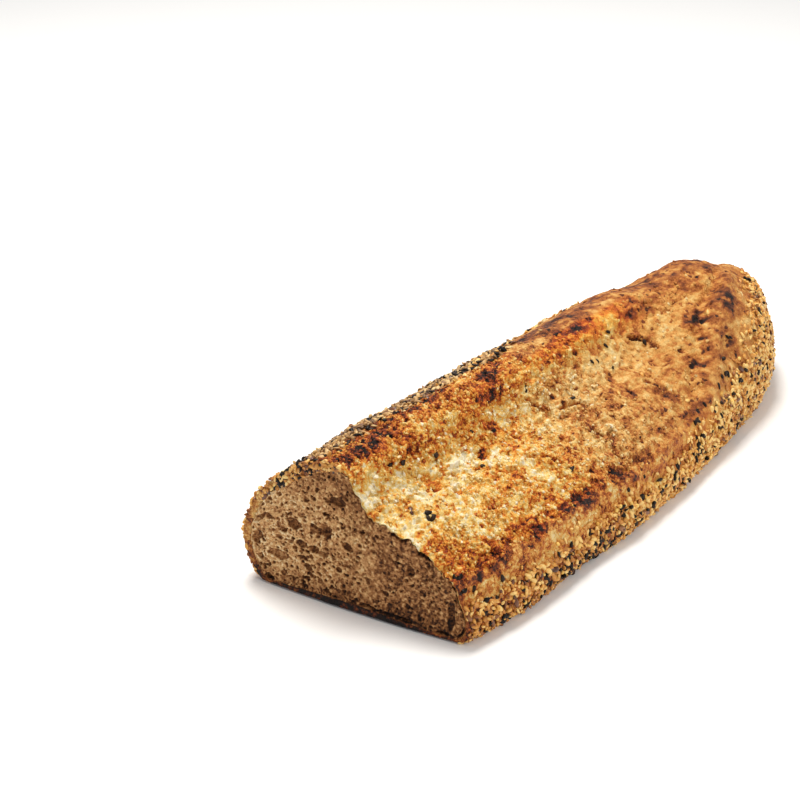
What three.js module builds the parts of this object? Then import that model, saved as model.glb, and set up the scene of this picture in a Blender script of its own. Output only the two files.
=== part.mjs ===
// The rest of a seeded baguette after slices were cut from it: one baked loaf lying on its flat base.
// Millimetres, +Z up. X runs along the loaf, from the cut at -X to the round end at +X.
// +Y is the side of the raised lip that the one long score left when it opened in the oven.
// The origin is under the middle of the loaf's box, on the surface it lies on.

import * as THREE from 'three';

// driving dimensions
const loafLength = 225;
const fullWidth = 79;
const fullHeight = 47.5;
const cutSlant = THREE.MathUtils.degToRad(9);
const slantReach = 40;
const roundedEnd = 0.225;
const tipHeight = 0.3;
const cutCentreHeight = 0.4;

// how full the round end is: a larger power keeps the sides parallel for longer
const endFullness = 2.5;
const endBluntness = 2.2;

// where the open score closes, as shares of the length
const scoreStartsToClose = 0.6;
const scoreIsClosed = 0.85;

// mesh density: rings gather towards the round end, where the shape turns fastest
const pointsAround = 68;
const ringsAlong = 48;
const ringGathering = 1.8;

// The cross-section, as [sideways, up] in half widths and heights, from the left half of the base
// round over the top to the right half. With the score open it has a steep lip, a valley and a shoulder.
const sectionWithOpenScore = [
  [0.42, 0], [0.8, 0], [0.94, 0.13], [1, 0.38], [0.88, 0.63], [0.62, 0.85],
  [0.36, 0.98], [0.1, 0.98], [-0.03, 0.86], [-0.19, 0.71], [-0.36, 0.66],
  [-0.6, 0.58], [-0.81, 0.45], [-0.94, 0.29], [-0.98, 0.1], [-0.86, 0], [-0.42, 0],
];
const sectionWithoutScore = [
  [0.42, 0], [0.82, 0], [0.95, 0.12], [1, 0.36], [0.88, 0.6], [0.64, 0.82],
  [0.38, 0.95], [0.14, 0.99], [-0.05, 1], [-0.25, 0.97], [-0.48, 0.9],
  [-0.72, 0.75], [-0.9, 0.54], [-0.99, 0.32], [-0.96, 0.1], [-0.82, 0], [-0.42, 0],
];

// How the loaf swells, narrows and bends along its length, as shares of the driving dimensions.
const stations = [
  { along: 0, width: 0.95, height: 0.97, drift: 0 },
  { along: 0.155, width: 1, height: 1, drift: -0.005 },
  { along: 0.31, width: 0.985, height: 0.99, drift: 0 },
  { along: 0.465, width: 0.99, height: 0.985, drift: 0 },
  { along: 0.615, width: 0.96, height: 0.95, drift: 0.03 },
  { along: 0.77, width: 0.85, height: 0.94, drift: 0.045 },
  { along: 1, width: 0.58, height: 0.93, drift: 0.04 },
];

const widthHeightDrift = new THREE.CubicInterpolant(
  stations.map((station) => station.along),
  stations.flatMap((station) => [station.width, station.height, station.drift]),
  3,
);

function closedOutline(points) {
  const corners = points.map(([sideways, up]) => new THREE.Vector3(0, sideways, up));
  return new THREE.CatmullRomCurve3(corners, true, 'catmullrom', 0.5);
}

const openOutline = closedOutline(sectionWithOpenScore);
const plainOutline = closedOutline(sectionWithoutScore);

// One point of the crust: share runs from the cut (0) to the tip (1), turn goes once round the section.
function crustPoint(share, turn) {
  const [width, height, drift] = widthHeightDrift.evaluate(share);
  const closing = THREE.MathUtils.smoothstep(share, scoreStartsToClose, scoreIsClosed);
  const outline = openOutline.getPoint(turn).lerp(plainOutline.getPoint(turn), closing);
  const intoEnd = THREE.MathUtils.clamp((share - 1 + roundedEnd) / roundedEnd, 0, 1);
  const swell = Math.pow(1 - Math.pow(intoEnd, endFullness), 1 / endBluntness);
  const along = share * loafLength;
  const sideways = fullWidth * (drift + 0.5 * width * swell * outline.y);
  const up = fullHeight * height * (tipHeight * (1 - swell) + swell * Math.max(outline.z, 0));
  const slantFade = THREE.MathUtils.clamp(1 - along / slantReach, 0, 1);
  return new THREE.Vector3(along - Math.tan(cutSlant) * sideways * slantFade, sideways, up);
}

// The middle of the cut face, which is flat: its first ring of triangles fans out from here to the rim.
function cutCentre() {
  const [, height, drift] = widthHeightDrift.evaluate(0);
  const sideways = fullWidth * drift;
  return new THREE.Vector3(-Math.tan(cutSlant) * sideways, sideways, fullHeight * height * cutCentreHeight);
}

// A sphere's grid carried onto the loaf: one pole is the middle of the cut, the other the tip.
function loafGeometry() {
  const geometry = new THREE.SphereGeometry(1, pointsAround, ringsAlong);
  const { position, uv } = geometry.attributes;
  for (let i = 0; i < position.count; i += 1) {
    const ring = Math.round((1 - uv.getY(i)) * ringsAlong);
    const turn = (2 - uv.getX(i)) % 1;
    const step = (ring - 1) / (ringsAlong - 1);
    const share = 1 - Math.pow(1 - step, ringGathering);
    const point = ring === 0 ? cutCentre() : crustPoint(share, turn);
    position.setXYZ(i, point.x, point.y, point.z);
  }
  geometry.computeBoundingBox();
  const middle = geometry.boundingBox.getCenter(new THREE.Vector3());
  geometry.translate(-middle.x, -middle.y, 0);
  geometry.computeVertexNormals();
  return geometry;
}

const bakedCrust = new THREE.MeshStandardMaterial({ color: 0xc28c4e, roughness: 0.8, metalness: 0 });

const loaf = new THREE.Mesh(loafGeometry(), bakedCrust);
loaf.name = 'loaf';

const baguette = new THREE.Group();
baguette.add(loaf);

export default baguette;
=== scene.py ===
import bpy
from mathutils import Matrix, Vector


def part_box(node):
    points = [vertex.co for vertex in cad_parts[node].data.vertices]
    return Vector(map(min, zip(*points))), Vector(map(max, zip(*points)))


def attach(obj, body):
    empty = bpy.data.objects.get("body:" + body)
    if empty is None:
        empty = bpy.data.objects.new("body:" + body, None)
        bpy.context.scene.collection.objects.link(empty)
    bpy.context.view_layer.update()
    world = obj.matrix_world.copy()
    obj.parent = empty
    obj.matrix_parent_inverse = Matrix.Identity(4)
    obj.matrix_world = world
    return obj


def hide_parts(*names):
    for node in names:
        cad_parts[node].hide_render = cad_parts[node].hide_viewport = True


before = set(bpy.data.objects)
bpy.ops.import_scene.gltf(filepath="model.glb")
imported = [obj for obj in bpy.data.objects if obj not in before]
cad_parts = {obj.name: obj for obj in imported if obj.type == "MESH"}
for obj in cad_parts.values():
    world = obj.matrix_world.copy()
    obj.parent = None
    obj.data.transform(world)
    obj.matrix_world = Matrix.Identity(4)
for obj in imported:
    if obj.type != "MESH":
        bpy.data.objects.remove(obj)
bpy.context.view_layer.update()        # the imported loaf: one node, "loaf", lying on its base with its round end at +X

from itertools import product
from math import radians, tan, cos, sin, pi

import bpy
import numpy as np
from mathutils import Vector

mm = 0.001        # shapes are worked out in millimetres, meshes are in metres

# the loaf as a whole, in millimetres and shares of its length; the construction model has the same shape
loaf = {
    "length": 225.0,
    "width": 79.0,
    "height": 47.5,
    "cutSlant": radians(9),
    "slantReach": 40.0,        # the slant has faded out this far behind the cut
    "cutMiddle": 0.42,        # how high the middle of the cut is, as a share
    "footSwell": 1.4,        # how far the foot of the cut stands out
    "footSwellReach": (37.0, 9.0),        # sideways and up
    "roundedEnd": 0.225,
    "endFullness": 2.5,
    "endBluntness": 2.2,
    "tipHeight": 0.3,
    "scoreCloses": (0.6, 0.85),
    "restsAt": 0.7,        # the underside's height: its seeds lift it this far off the table
}

# cross-section as (sideways, up) in half widths and heights, round over the top from left to right
openSection = np.array([
    (0.42, 0), (0.8, 0), (0.94, 0.13), (1, 0.38), (0.88, 0.63), (0.62, 0.85),
    (0.36, 0.98), (0.1, 0.98), (-0.03, 0.86), (-0.19, 0.71), (-0.36, 0.66),
    (-0.6, 0.58), (-0.81, 0.45), (-0.94, 0.29), (-0.98, 0.1), (-0.86, 0), (-0.42, 0)])
plainSection = np.array([
    (0.42, 0), (0.82, 0), (0.95, 0.12), (1, 0.36), (0.88, 0.6), (0.64, 0.82),
    (0.38, 0.95), (0.14, 0.99), (-0.05, 1), (-0.25, 0.97), (-0.48, 0.9),
    (-0.72, 0.75), (-0.9, 0.54), (-0.99, 0.32), (-0.96, 0.1), (-0.82, 0), (-0.42, 0)])
steps = len(openSection)        # "around" counts these steps, 0 on the base, 6 to 7 on the raised lip

# where along the loaf, and its width, height and sideways drift there, as shares
stationAlong = np.array([0, 0.155, 0.31, 0.465, 0.615, 0.77, 1])
stationSizes = np.array([
    (0.95, 0.97, 0), (1, 1, -0.005), (0.985, 0.99, 0), (0.99, 0.985, 0),
    (0.96, 0.95, 0.03), (0.85, 0.94, 0.045), (0.58, 0.93, 0.04)])


def smooth(low, high, value):
    # 0 below low, 1 above high, and 3t^2 - 2t^3 between
    t = np.clip((value - low) / (high - low), 0, 1)
    return t * t * (3 - 2 * t)


def hill(value, middle, reach):
    # bell curve of height 1 at middle
    return np.exp(-((value - middle) / reach) ** 2)


def unit(vectors):
    # the same directions, each one long
    return vectors / np.maximum(np.linalg.norm(vectors, axis=1), 1e-9)[:, None]


def closedCurve(points, around):
    # Catmull-Rom curve through the points, one point per whole step, closed on itself
    start = np.floor(around).astype(int)
    t = (around - start)[:, None]
    before, here, after, beyond = (points[(start + k) % len(points)] for k in (-1, 0, 1, 2))
    return 0.5 * (2 * here + (after - before) * t + (2 * before - 5 * here + 4 * after - beyond) * t ** 2
                  + (3 * here - before - 3 * after + beyond) * t ** 3)


def sizesAlong(share):
    # Hermite curve through the stations, its slopes the mean slope of each station's neighbours
    slopes = np.gradient(stationSizes, stationAlong, axis=0)
    i = np.clip(np.searchsorted(stationAlong, share) - 1, 0, len(stationAlong) - 2)
    gap = (stationAlong[i + 1] - stationAlong[i])[:, None]
    t = (share - stationAlong[i])[:, None] / gap
    return ((2 * t ** 3 - 3 * t ** 2 + 1) * stationSizes[i] + (t ** 3 - 2 * t ** 2 + t) * gap * slopes[i]
            + (3 * t ** 2 - 2 * t ** 3) * stationSizes[i + 1] + (t ** 3 - t ** 2) * gap * slopes[i + 1])


def plainPoint(share, around):
    # section at that share of the length, sized by the stations; in the round end it shrinks by
    # (1 - k^fullness)^(1/bluntness), k being how far into the end it is; the cut end leans by the slant
    width, height, drift = sizesAlong(share).T
    closing = smooth(*loaf["scoreCloses"], share)[:, None]
    section = closedCurve(openSection, around) * (1 - closing) + closedCurve(plainSection, around) * closing
    into = np.clip((share - 1 + loaf["roundedEnd"]) / loaf["roundedEnd"], 0, 1)
    swell = (1 - into ** loaf["endFullness"]) ** (1 / loaf["endBluntness"])
    y = loaf["width"] * (drift + 0.5 * width * swell * section[:, 0])
    z = loaf["height"] * height * (loaf["tipHeight"] * (1 - swell) + swell * np.maximum(section[:, 1], 0))
    x = loaf["length"] * share
    x = x - tan(loaf["cutSlant"]) * y * np.clip(1 - x / loaf["slantReach"], 0, 1)
    return np.stack([x, y, z], -1)


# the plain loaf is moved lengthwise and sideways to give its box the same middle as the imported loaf's
everywhere = np.meshgrid(np.linspace(0, 1, 200), np.linspace(0, steps, 200))
plainLoaf = plainPoint(*(grid.ravel() for grid in everywhere))
cadLow, cadHigh = (np.array(corner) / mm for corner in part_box("loaf"))
shift = (cadLow + cadHigh - plainLoaf.min(0) - plainLoaf.max(0)) / 2
shift[2] = 0

# into the loaf, square to the cut
cutAcross = np.array([cos(loaf["cutSlant"]), sin(loaf["cutSlant"]), 0])


def cutDepth(points):
    # how far a point is behind the plane of the cut
    return (points - shift) @ cutAcross


def footSwell(y, z):
    # mm that the foot of the cut stands out: most in the middle, none at the sides and a little way up
    aside, up = loaf["footSwellReach"]
    return loaf["footSwell"] * smooth(up, 0, z) * np.clip(1 - (y / aside) ** 2, 0, 1)


def loafPoint(share, around):
    return plainPoint(share, around) + shift


def loafNormal(share, around):
    # square to the surface: the cross product of short steps along and around
    nudge = 1e-3
    onward, backward = np.clip(share + nudge, 0, 1), np.clip(share - nudge, 0, 1)
    ahead = loafPoint(onward, around) - loafPoint(backward, around)
    across = loafPoint(share, around + nudge * 10) - loafPoint(share, around - nudge * 10)
    return unit(np.cross(across, ahead))


def cubePick(table, cube):
    # one of 256 random rows for each cube, the same one every time, through a shuffled table
    x, y, z = (cube & 255).T
    return table[(table[(table[x] + y) & 255] + z) & 255]


def latticeNoise(points, size, seed):
    # gradient noise, about -1 to 1: a random direction on each corner of cubes of the given size,
    # its dot product with the offset from that corner, blended by 6t^5 - 15t^4 + 10t^3
    rng = np.random.default_rng(seed)
    table = rng.permutation(256)
    directions = unit(rng.normal(size=(256, 3)))
    scaled = points / size + 100
    corner = np.floor(scaled).astype(int)
    offset = scaled - corner
    fade = offset ** 3 * (offset * (offset * 6 - 15) + 10)
    total = np.zeros(len(points))
    for step in product((0, 1), repeat=3):
        pick = cubePick(table, corner + step)
        weight = np.prod(np.where(np.array(step) == 1, fade, 1 - fade), axis=1)
        total += weight * ((offset - step) * directions[pick]).sum(1)
    return total * 1.6


def layeredNoise(points, size, layers, seed):
    # lattice noise with each further layer half the size and half the strength
    return sum(latticeNoise(points, size / 2 ** k, seed + k) / 2 ** k for k in range(layers))


def nearestSpot(points, size, seed):
    # one random spot in each cube: distance to the nearest one, in cube sizes, and that spot's own number
    rng = np.random.default_rng(seed)
    table = rng.permutation(256)
    spots = rng.random((256, 4))
    scaled = points / size + 100
    corner = np.floor(scaled).astype(int)
    best = np.full(len(points), 9.0)
    number = np.zeros(len(points))
    for step in product((-1, 0, 1), repeat=3):
        pick = cubePick(table, corner + step)
        away = np.linalg.norm(corner + step + spots[pick, :3] - scaled, axis=1)
        nearer = away < best
        best = np.where(nearer, away, best)
        number = np.where(nearer, spots[pick, 3], number)
    return best, number


# the one long score: where its two edges run, as steps around the section at places along the loaf in mm
score = {
    "leftAlong": [0, 30, 85, 110, 150, 175, 200],
    "leftEdge": [6.85, 6.9, 6.85, 6.6, 6.7, 7.2, 8.7],
    "rightAlong": [0, 60, 110, 132, 145, 154, 162, 170, 182, 200],
    "rightEdge": [12.25, 12.3, 12.35, 12.2, 11.7, 11.25, 10.6, 10.15, 9.5, 8.7],
    "foldStarts": (128, 150),        # from here on the right edge is a fold across the loaf
    "closed": (192, 202),
}

# how far each kind of relief stands out of the crust, or goes into it, in mm
relief = {
    "swell": 0.8,
    "bulge": 0.45,
    "grain": 0.2,
    "tornCrumb": 1.8,
    "tornDough": 0.5,
    "lip": 0.5,        # the left edge of the score
    "curledLip": 0.6,        # what is added where it curls up
    "ridge": 0.9,        # just inside the curled lip
    "valley": 0.7,        # further inside
    "ledge": 0.9,        # the right edge of the score
    "ledgeFoot": 0.5,
    "fold": 2.0,
    "crease": 1.7,        # beside the fold
    "blister": 0.35,
    "burst": 1.1,
    "tear": 1.7,
    "tearEdge": 0.7,
    "crack": 0.6,
    "stretchMark": 0.5,
    "curlEnds": (80, 85),        # mm along
}

# swellings and hollows of this loaf: along, around, half length in mm, half height in steps, mm outwards
roundedPlaces = [
    (193, 6.4, 11, 1.3, 1.7), (169, 5.9, 8, 1.2, -1.3), (153, 5.8, 8, 1.0, 1.0), (213, 8.2, 6, 1.8, 1.6),
    (205, 7.2, 5, 0.9, -0.8), (78, 14.2, 13, 1.0, 1.5), (140, 14.1, 12, 1.0, -0.5),
    (185, 13.6, 13, 1.2, 1.0), (22, 14.2, 16, 0.9, 0.7), (35, 4.5, 60, 1.2, -0.8),
    (105, 5.9, 16, 1.0, 0.5), (2, 2.7, 6, 1.0, 0.7), (50, 9.04, 2.2, 0.2, -2.2),
    (35, 9.17, 1.8, 0.16, -1.9), (25, 9.24, 1.8, 0.16, -1.7), (43, 9.5, 1.5, 0.1, -1.2)]

# how brown the oven left the opened score, at steps around it: beside the cut, and in the far half
browning = {
    "around": [5.8, 6.5, 7.1, 7.6, 8.3, 9.2, 10.3, 11.3, 12.0, 12.6, 13.2],
    "near": [0.42, 0.4, 0.38, 0.34, 0.24, 0.17, 0.2, 0.3, 0.44, 0.48, 0.36],
    "far": [0.54, 0.54, 0.46, 0.38, 0.33, 0.32, 0.35, 0.4, 0.44, 0.44, 0.42],
    "turnsFar": (62, 98),
    "outside": (0.6, 0.46),        # the rolled skin, near and far
    "underside": 0.64,
    "cutFootBrownAndShade": 0.25,        # darker under the loaf beside the cut: partly browner bottom crust, partly painted shade
    "palerStrip": 0.2,        # along the ledge
    "seededSide": 0.1,
    "ledge": 0.07,
    "fold": 0.1,
    "stretchMark": 0.16,
    "bran": (0.1, 0.06),        # and what is added in the far half
    "streak": 0.16,
    "shadeBetweenCrumbs": 0.1,        # painted shade: darker between torn crumbs, paler on their tops
    "shadedFloors": 0.4,        # painted shade on the floors of bubbles, tears and cracks
    # uneven heat in patches: how much, their size in mm, layers of noise, its seed
    "patches": [(0.14, 10.0, 1, 41), (0.17, 6.0, 1, 44), (0.2, 3.6, 2, 42), (0.08, 1.7, 2, 46)],
}

# single places browner than that: along in mm, around in steps, half length in mm, half height in steps,
# how much browner; the small dark ones in the pits are painted shade
brownPlacesAndPitShade = [
    (15, 6.65, 5, 0.25, 0.1), (22, 6.55, 4, 0.22, 0.1), (7, 6.85, 5, 0.25, 0.12), (30, 6.6, 7, 0.2, 0.14),
    (42, 6.5, 8, 0.3, 0.12), (20, 7.3, 6, 0.3, 0.1), (27, 7.6, 8, 0.4, 0.1), (36, 8.1, 9, 0.35, 0.15),
    (33, 7.6, 10, 0.5, 0.08), (56, 7.3, 10, 0.5, 0.12), (70, 6.8, 5, 0.3, 0.26),
    (68, 7.45, 6, 0.35, 0.28), (53, 7.6, 5, 0.3, 0.12), (60, 8.5, 4, 0.25, 0.22),
    (104, 7.1, 12, 0.35, 0.08), (118, 6.7, 9, 0.3, 0.12), (168, 5.9, 20, 1.0, 0.18),
    (118, 5.9, 25, 0.5, 0.12), (148, 7.6, 4, 0.35, 0.2), (158, 7.6, 5, 0.35, 0.16),
    (152, 10.85, 3.2, 0.28, 0.35), (167, 9.7, 6, 0.4, 0.26), (183, 10.2, 6, 0.4, 0.2),
    (171, 11.1, 4, 0.3, 0.22), (196, 7.0, 6, 0.5, 0.2), (111, 9.62, 3, 0.22, 0.34),
    (118, 10.2, 2.5, 0.25, 0.32), (72, 10.7, 8, 0.35, 0.14), (8, 11.2, 10, 0.5, 0.1),
    (30, 11.0, 7, 0.35, 0.1), (12, 12.5, 16, 0.4, 0.14), (42, 12.1, 12, 0.22, 0.14),
    (60, 12.4, 9, 0.3, 0.09), (88, 12.3, 16, 0.3, 0.1), (84, 11.9, 4, 0.3, 0.14),
    # the small dark ones at 25 to 50 mm along, 9 to 9.5 steps around, are painted shade in the pits that roundedPlaces
    # sinks there
    (50, 9.04, 2.2, 0.2, 0.5), (3, 8.06, 1.5, 0.12, 0.35), (35, 9.17, 1.9, 0.17, 0.42),
    (25, 9.24, 1.9, 0.17, 0.38), (43, 9.5, 1.5, 0.14, 0.3), (60, 9.6, 1.5, 0.14, 0.3)]
palePlaces = [
    (6, 8.0, 8, 0.5, 0.16), (22, 9.4, 12, 0.8, 0.04), (46, 8.75, 8, 0.35, 0.08), (36, 7.15, 5, 0.25, 0.2),
    (55, 9.5, 12, 0.6, 0.04), (84, 7.5, 6, 0.4, 0.12), (100, 9.0, 14, 0.5, 0.05),
    (160, 8.7, 7, 0.5, 0.08)]

# wider stretches that the oven left browner or, where negative, paler, in the same terms; the paler
# stretch on the right of the round end is painted light
broadPlacesAndPaintedLight = [
    (188, 7.8, 22, 1.7, 0.17), (172, 8.9, 10, 0.9, 0.12), (150, 8.6, 16, 1.2, 0.07),
    (128, 10.2, 28, 1.5, 0.09), (124, 6.0, 22, 0.6, 0.12), (105, 5.9, 9, 0.5, 0.1),
    (135, 7.0, 7, 0.4, -0.12), (66, 9.5, 14, 0.8, 0.13), (44, 10.4, 9, 0.6, 0.19),
    (18, 10.0, 4, 0.5, 0.12), (54, 8.5, 8, 0.3, 0.08), (38, 7.7, 14, 0.5, 0.02), (60, 7.7, 7, 0.35, 0.14),
    (41, 6.8, 6, 0.3, 0.12), (2, 6.3, 4, 0.6, 0.25), (10, 11.6, 8, 0.5, 0.1), (47, 12.15, 20, 0.28, 0.15),
    # the paler stretch at 182 mm along is painted light on a side that faces away from the lamps
    (38, 13.1, 16, 0.6, -0.1), (80, 13.8, 24, 0.6, -0.13), (182, 12.6, 26, 1.8, -0.06)]

# burnt spots, in the same terms; noise breaks them into grains
charredPlaces = [
    (12.5, 6.75, 3.4, 0.28, 1.0), (19.5, 6.6, 2.2, 0.13, 0.6), (18, 7.85, 3, 0.14, 0.5),
    (70, 6.8, 5, 0.22, 0.4), (69, 7.45, 4, 0.25, 0.4), (60, 8.5, 2.5, 0.14, 0.6),
    (50, 6.45, 6, 0.14, 0.5), (33, 6.4, 10, 0.12, 0.5), (152, 10.85, 2.5, 0.25, 0.2),
    (183, 10.3, 4, 0.3, 0.1), (168, 9.7, 4, 0.3, 0.2), (118, 6.9, 6, 0.25, 0.3)]

# where the torn skin lifted or cracked: routes of (along, around)
tears = [
    [(79, 8.25), (82, 8.64), (84, 8.96), (83, 9.36)],
    [(89, 9.16), (95, 9.21), (100, 9.57), (100, 10.07), (98, 10.36)],
    [(90, 10.3), (90, 10.6), (91, 10.95)],
    [(95, 10.95), (92, 11.3), (90, 11.61), (89, 11.95)],
    [(85, 11.84), (85, 12.2)],
    [(128, 10.3), (131, 10.8), (130, 11.3)],
    [(140, 8.3), (146, 8.8), (147, 9.4)],
    [(60, 10.2), (66, 10.5), (69, 11.0)]]


def placesAdded(places, along, around):
    # sum of soft ellipses
    return sum(strength * np.exp(-((along - x) / reach) ** 2 - ((around - a) / breadth) ** 2)
               for x, a, reach, breadth, strength in places)


def tearGap(place):
    # distance in mm to the nearest tear, each a chain of straight stretches on the plain loaf
    gap = np.full(len(place), 99.0)
    for route in tears:
        along, around = np.array(route).T
        stops = loafPoint(along / loaf["length"], around)
        for start, end in zip(stops[:-1], stops[1:]):
            stretch = end - start
            t = np.clip((place - start) @ stretch / (stretch @ stretch), 0, 1)
            gap = np.minimum(gap, np.linalg.norm(place - start - t[:, None] * stretch, axis=1))
    return gap


def scoreEdges(along, place):
    # the edges wander by a tenth of a step or two, as dough tears
    wander = layeredNoise(place, 9.0, 3, 11)
    left = np.interp(along, score["leftAlong"], score["leftEdge"]) + 0.16 * wander
    right = np.interp(along, score["rightAlong"], score["rightEdge"]) + 0.2 * wander
    return left, right


def onTop(around):
    # 1 over the sides and the top, 0 on the underside
    return smooth(1.2, 2.2, around) * (1 - smooth(14.2, 15, around))


def stretchMarks(place):
    # noise drawn out along the loaf, where the skin stretched before it tore
    return layeredNoise(place * np.array([0.12, 1, 1]), 2.6, 2, 53)


def crustRelief(along, around, place, left, right, inside):
    # mm outwards: broad swelling, bulges and grain everywhere; on the opened score torn crumbs, rounded
    # lumps between sharp creases (the size of a noise without its sign); then lips, fold, bubbles and tears
    stillOpen = 1 - smooth(*score["closed"], along)
    folding = smooth(*score["foldStarts"], along)
    calm = 1 - 0.5 * smooth(70, 150, along)
    bulges = layeredNoise(place, 8.0, 2, 2)
    crumbs = np.abs(latticeNoise(place, 3.0, 5)) + 0.55 * np.abs(latticeNoise(place, 1.5, 6))
    outwards = relief["swell"] * latticeNoise(place, 24.0, 1) * onTop(around) + relief["bulge"] * bulges
    outwards += relief["grain"] * layeredNoise(place, 2.6, 2, 4)
    torn = relief["tornCrumb"] * (crumbs - 0.4) + relief["tornDough"] * latticeNoise(place, 4.5, 8)
    outwards += inside * calm * torn

    # the left lip curls up along the ridge as far as a torn end
    curled = 1 - smooth(*relief["curlEnds"], along)
    lip = (relief["lip"] + relief["curledLip"] * curled) * stillOpen
    outwards += lip * hill(around, left - 0.2, 0.32) * (1 + 0.7 * bulges)
    outwards += relief["ridge"] * curled * hill(around, 7.2, 0.8)
    outwards -= relief["valley"] * stillOpen * hill(around, left + 1.5, 0.5)

    # the right edge is a soft ledge, and further off a fold
    outwards += (1 - folding) * (relief["ledge"] + 0.4 * bulges) * hill(around, right + 0.1, 0.3)
    outwards -= relief["ledgeFoot"] * (1 - folding) * hill(around, right + 0.75, 0.3)
    outwards += folding * stillOpen * relief["fold"] * hill(around, right + 0.4, 0.5)
    outwards -= folding * stillOpen * relief["crease"] * hill(around, right - 0.3, 0.3)
    for x, a, reach, breadth, height in roundedPlaces:
        outwards += height * hill(along, x, reach) * hill(around, a, breadth)

    away, number = nearestSpot(place, 6.0, 21)
    burst = inside * smooth(0.22, 0.1, away) * (number > 0.5) * smooth(3, 6, along)
    blister, blisterNumber = nearestSpot(place, 5.0, 23)
    raised = (1 - inside) * smooth(0.45, 0.1, blister) * (blisterNumber > 0.6)
    gap = tearGap(place)
    tear = relief["tearEdge"] * hill(gap, 1.4, 0.7) - relief["tear"] * hill(gap, 0, 0.55)
    veins = np.abs(latticeNoise(place, 10.0, 15))
    cracked = inside * smooth(0.045, 0.0, veins) * smooth(0.0, 0.35, latticeNoise(place, 13.0, 16))
    outwards += relief["blister"] * raised - relief["burst"] * burst + tear - relief["crack"] * cracked
    marks = np.abs(stretchMarks(place)) * hill(around, 12.4, 0.8) * (1 - folding)
    outwards -= relief["stretchMark"] * marks
    return outwards, crumbs, np.maximum.reduce([burst, hill(gap, 0, 0.6), 0.8 * cracked])


def crustToastAndShade(along, around, place, right, inside, crumbs, shadedFloors):
    # 0 cream to 1 char: what the table says for the score, the skin and the underside, then broad and
    # single places, grains of char, ledge, fold, spots of bran, patches and streaks; painted shade between
    # torn crumbs, on the floors of bubbles and tears, and in pits is added to it
    far = smooth(*browning["turnsFar"], along)
    near, distant = (np.interp(around, browning["around"], browning[half]) for half in ("near", "far"))
    top = near * (1 - far) + distant * far
    above = onTop(around)
    skin = browning["outside"][0] * (1 - far) + browning["outside"][1] * far
    outer = skin * above + browning["underside"] * (1 - above)
    outer -= browning["palerStrip"] * hill(around, 12.75, 0.45) * (1 - far)
    outer += browning["cutFootBrownAndShade"] * (1 - above) * smooth(30, 0, along)
    outer += browning["seededSide"] * smooth(13.1, 13.5, around) * (1 - far)
    toastAndShade = outer * (1 - inside) + top * inside + placesAdded(broadPlacesAndPaintedLight, along, around)
    ragged = 1 + 1.5 * layeredNoise(place, 2.2, 2, 47)
    toastAndShade += placesAdded(brownPlacesAndPitShade, along, around) * np.clip(ragged, 0.1, 1.9)
    grains = smooth(-0.3, 0.1, layeredNoise(place, 1.8, 2, 48))
    toastAndShade += placesAdded(charredPlaces, along, around) * grains
    toastAndShade -= inside * placesAdded(palePlaces, along, around)
    folding = smooth(*score["foldStarts"], along)
    band = hill(around, right + 0.1, 0.4) * (1 - 0.6 * smooth(60, 125, along)) * (1 - folding)
    fold = folding * hill(around, right + 0.1, 0.5) * (1 - smooth(*score["closed"], along))
    toastAndShade += (browning["ledge"] * band + browning["fold"] * fold) * ragged
    toastAndShade += browning["stretchMark"] * stretchMarks(place) * hill(around, 12.3, 0.8) * (1 - folding)
    spots, spotNumber = nearestSpot(place * np.array([0.75, 1, 1]), 5.5, 31)
    bran, moreFar = browning["bran"]
    toastAndShade += smooth(0.4, 0.14, spots) * (spotNumber > 0.55) * (bran + moreFar * far) * (0.5 + 0.5 * inside)
    patches = sum(much * layeredNoise(place, *kind) for much, *kind in browning["patches"])
    toastAndShade += patches * (1 - 0.4 * far)
    streaks = layeredNoise(place @ np.array([[0.5, 0.3, 0], [-0.5, 0.9, 0], [0, 0, 1]]), 3.0, 2, 49)
    # painted shade: the gaps between torn crumbs are drawn darker, their tops paler
    toastAndShade += browning["streak"] * far * streaks - browning["shadeBetweenCrumbs"] * inside * (crumbs - 0.4)
    # painted shade on the floors of bubbles, tears and cracks
    return toastAndShade + browning["shadedFloors"] * shadedFloors


def crustFields(share, around, place):
    # what the oven did to each point: relief in mm outwards, toast from 0 (cream) to 1 (char) with painted
    # shade added in places, how open the crust is there, how coarse its grain, and how far it browns tan
    # like rolled skin, not orange
    along = loaf["length"] * share
    around = around % steps
    left, right = scoreEdges(along, place)
    stillOpen = 1 - smooth(*score["closed"], along)
    inside = smooth(left - 0.12, left + 0.16, around) * (1 - smooth(right - 0.2, right + 0.2, around))
    inside *= stillOpen
    lip = smooth(6.0, 6.25, around) * smooth(left + 0.3, left, around) * (1 - smooth(82, 92, along))
    inside = np.maximum(inside, 0.8 * lip)
    outwards, crumbs, shadedFloors = crustRelief(along, around, place, left, right, inside)
    toastAndShade = crustToastAndShade(along, around, place, right, inside, crumbs, shadedFloors)
    coarse = (0.85 + 0.15 * inside) * (1 - 0.65 * smooth(60, 150, along)) * np.clip(0.55 + toastAndShade, 0.6, 1.1)
    # flour stuck to the far half's score, so that it browns almost like the skin
    floured = np.maximum(smooth(7.2, 8.6, around), smooth(135, 160, along))
    floured *= smooth(*browning["turnsFar"], along)
    rolled = (1 - inside * (1 - 0.9 * floured)) * (1 - 0.45 * smooth(12, 12.6, around))
    return outwards, {"toastAndShade": toastAndShade, "inside": inside, "coarse": coarse, "rolled": rolled}


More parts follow.
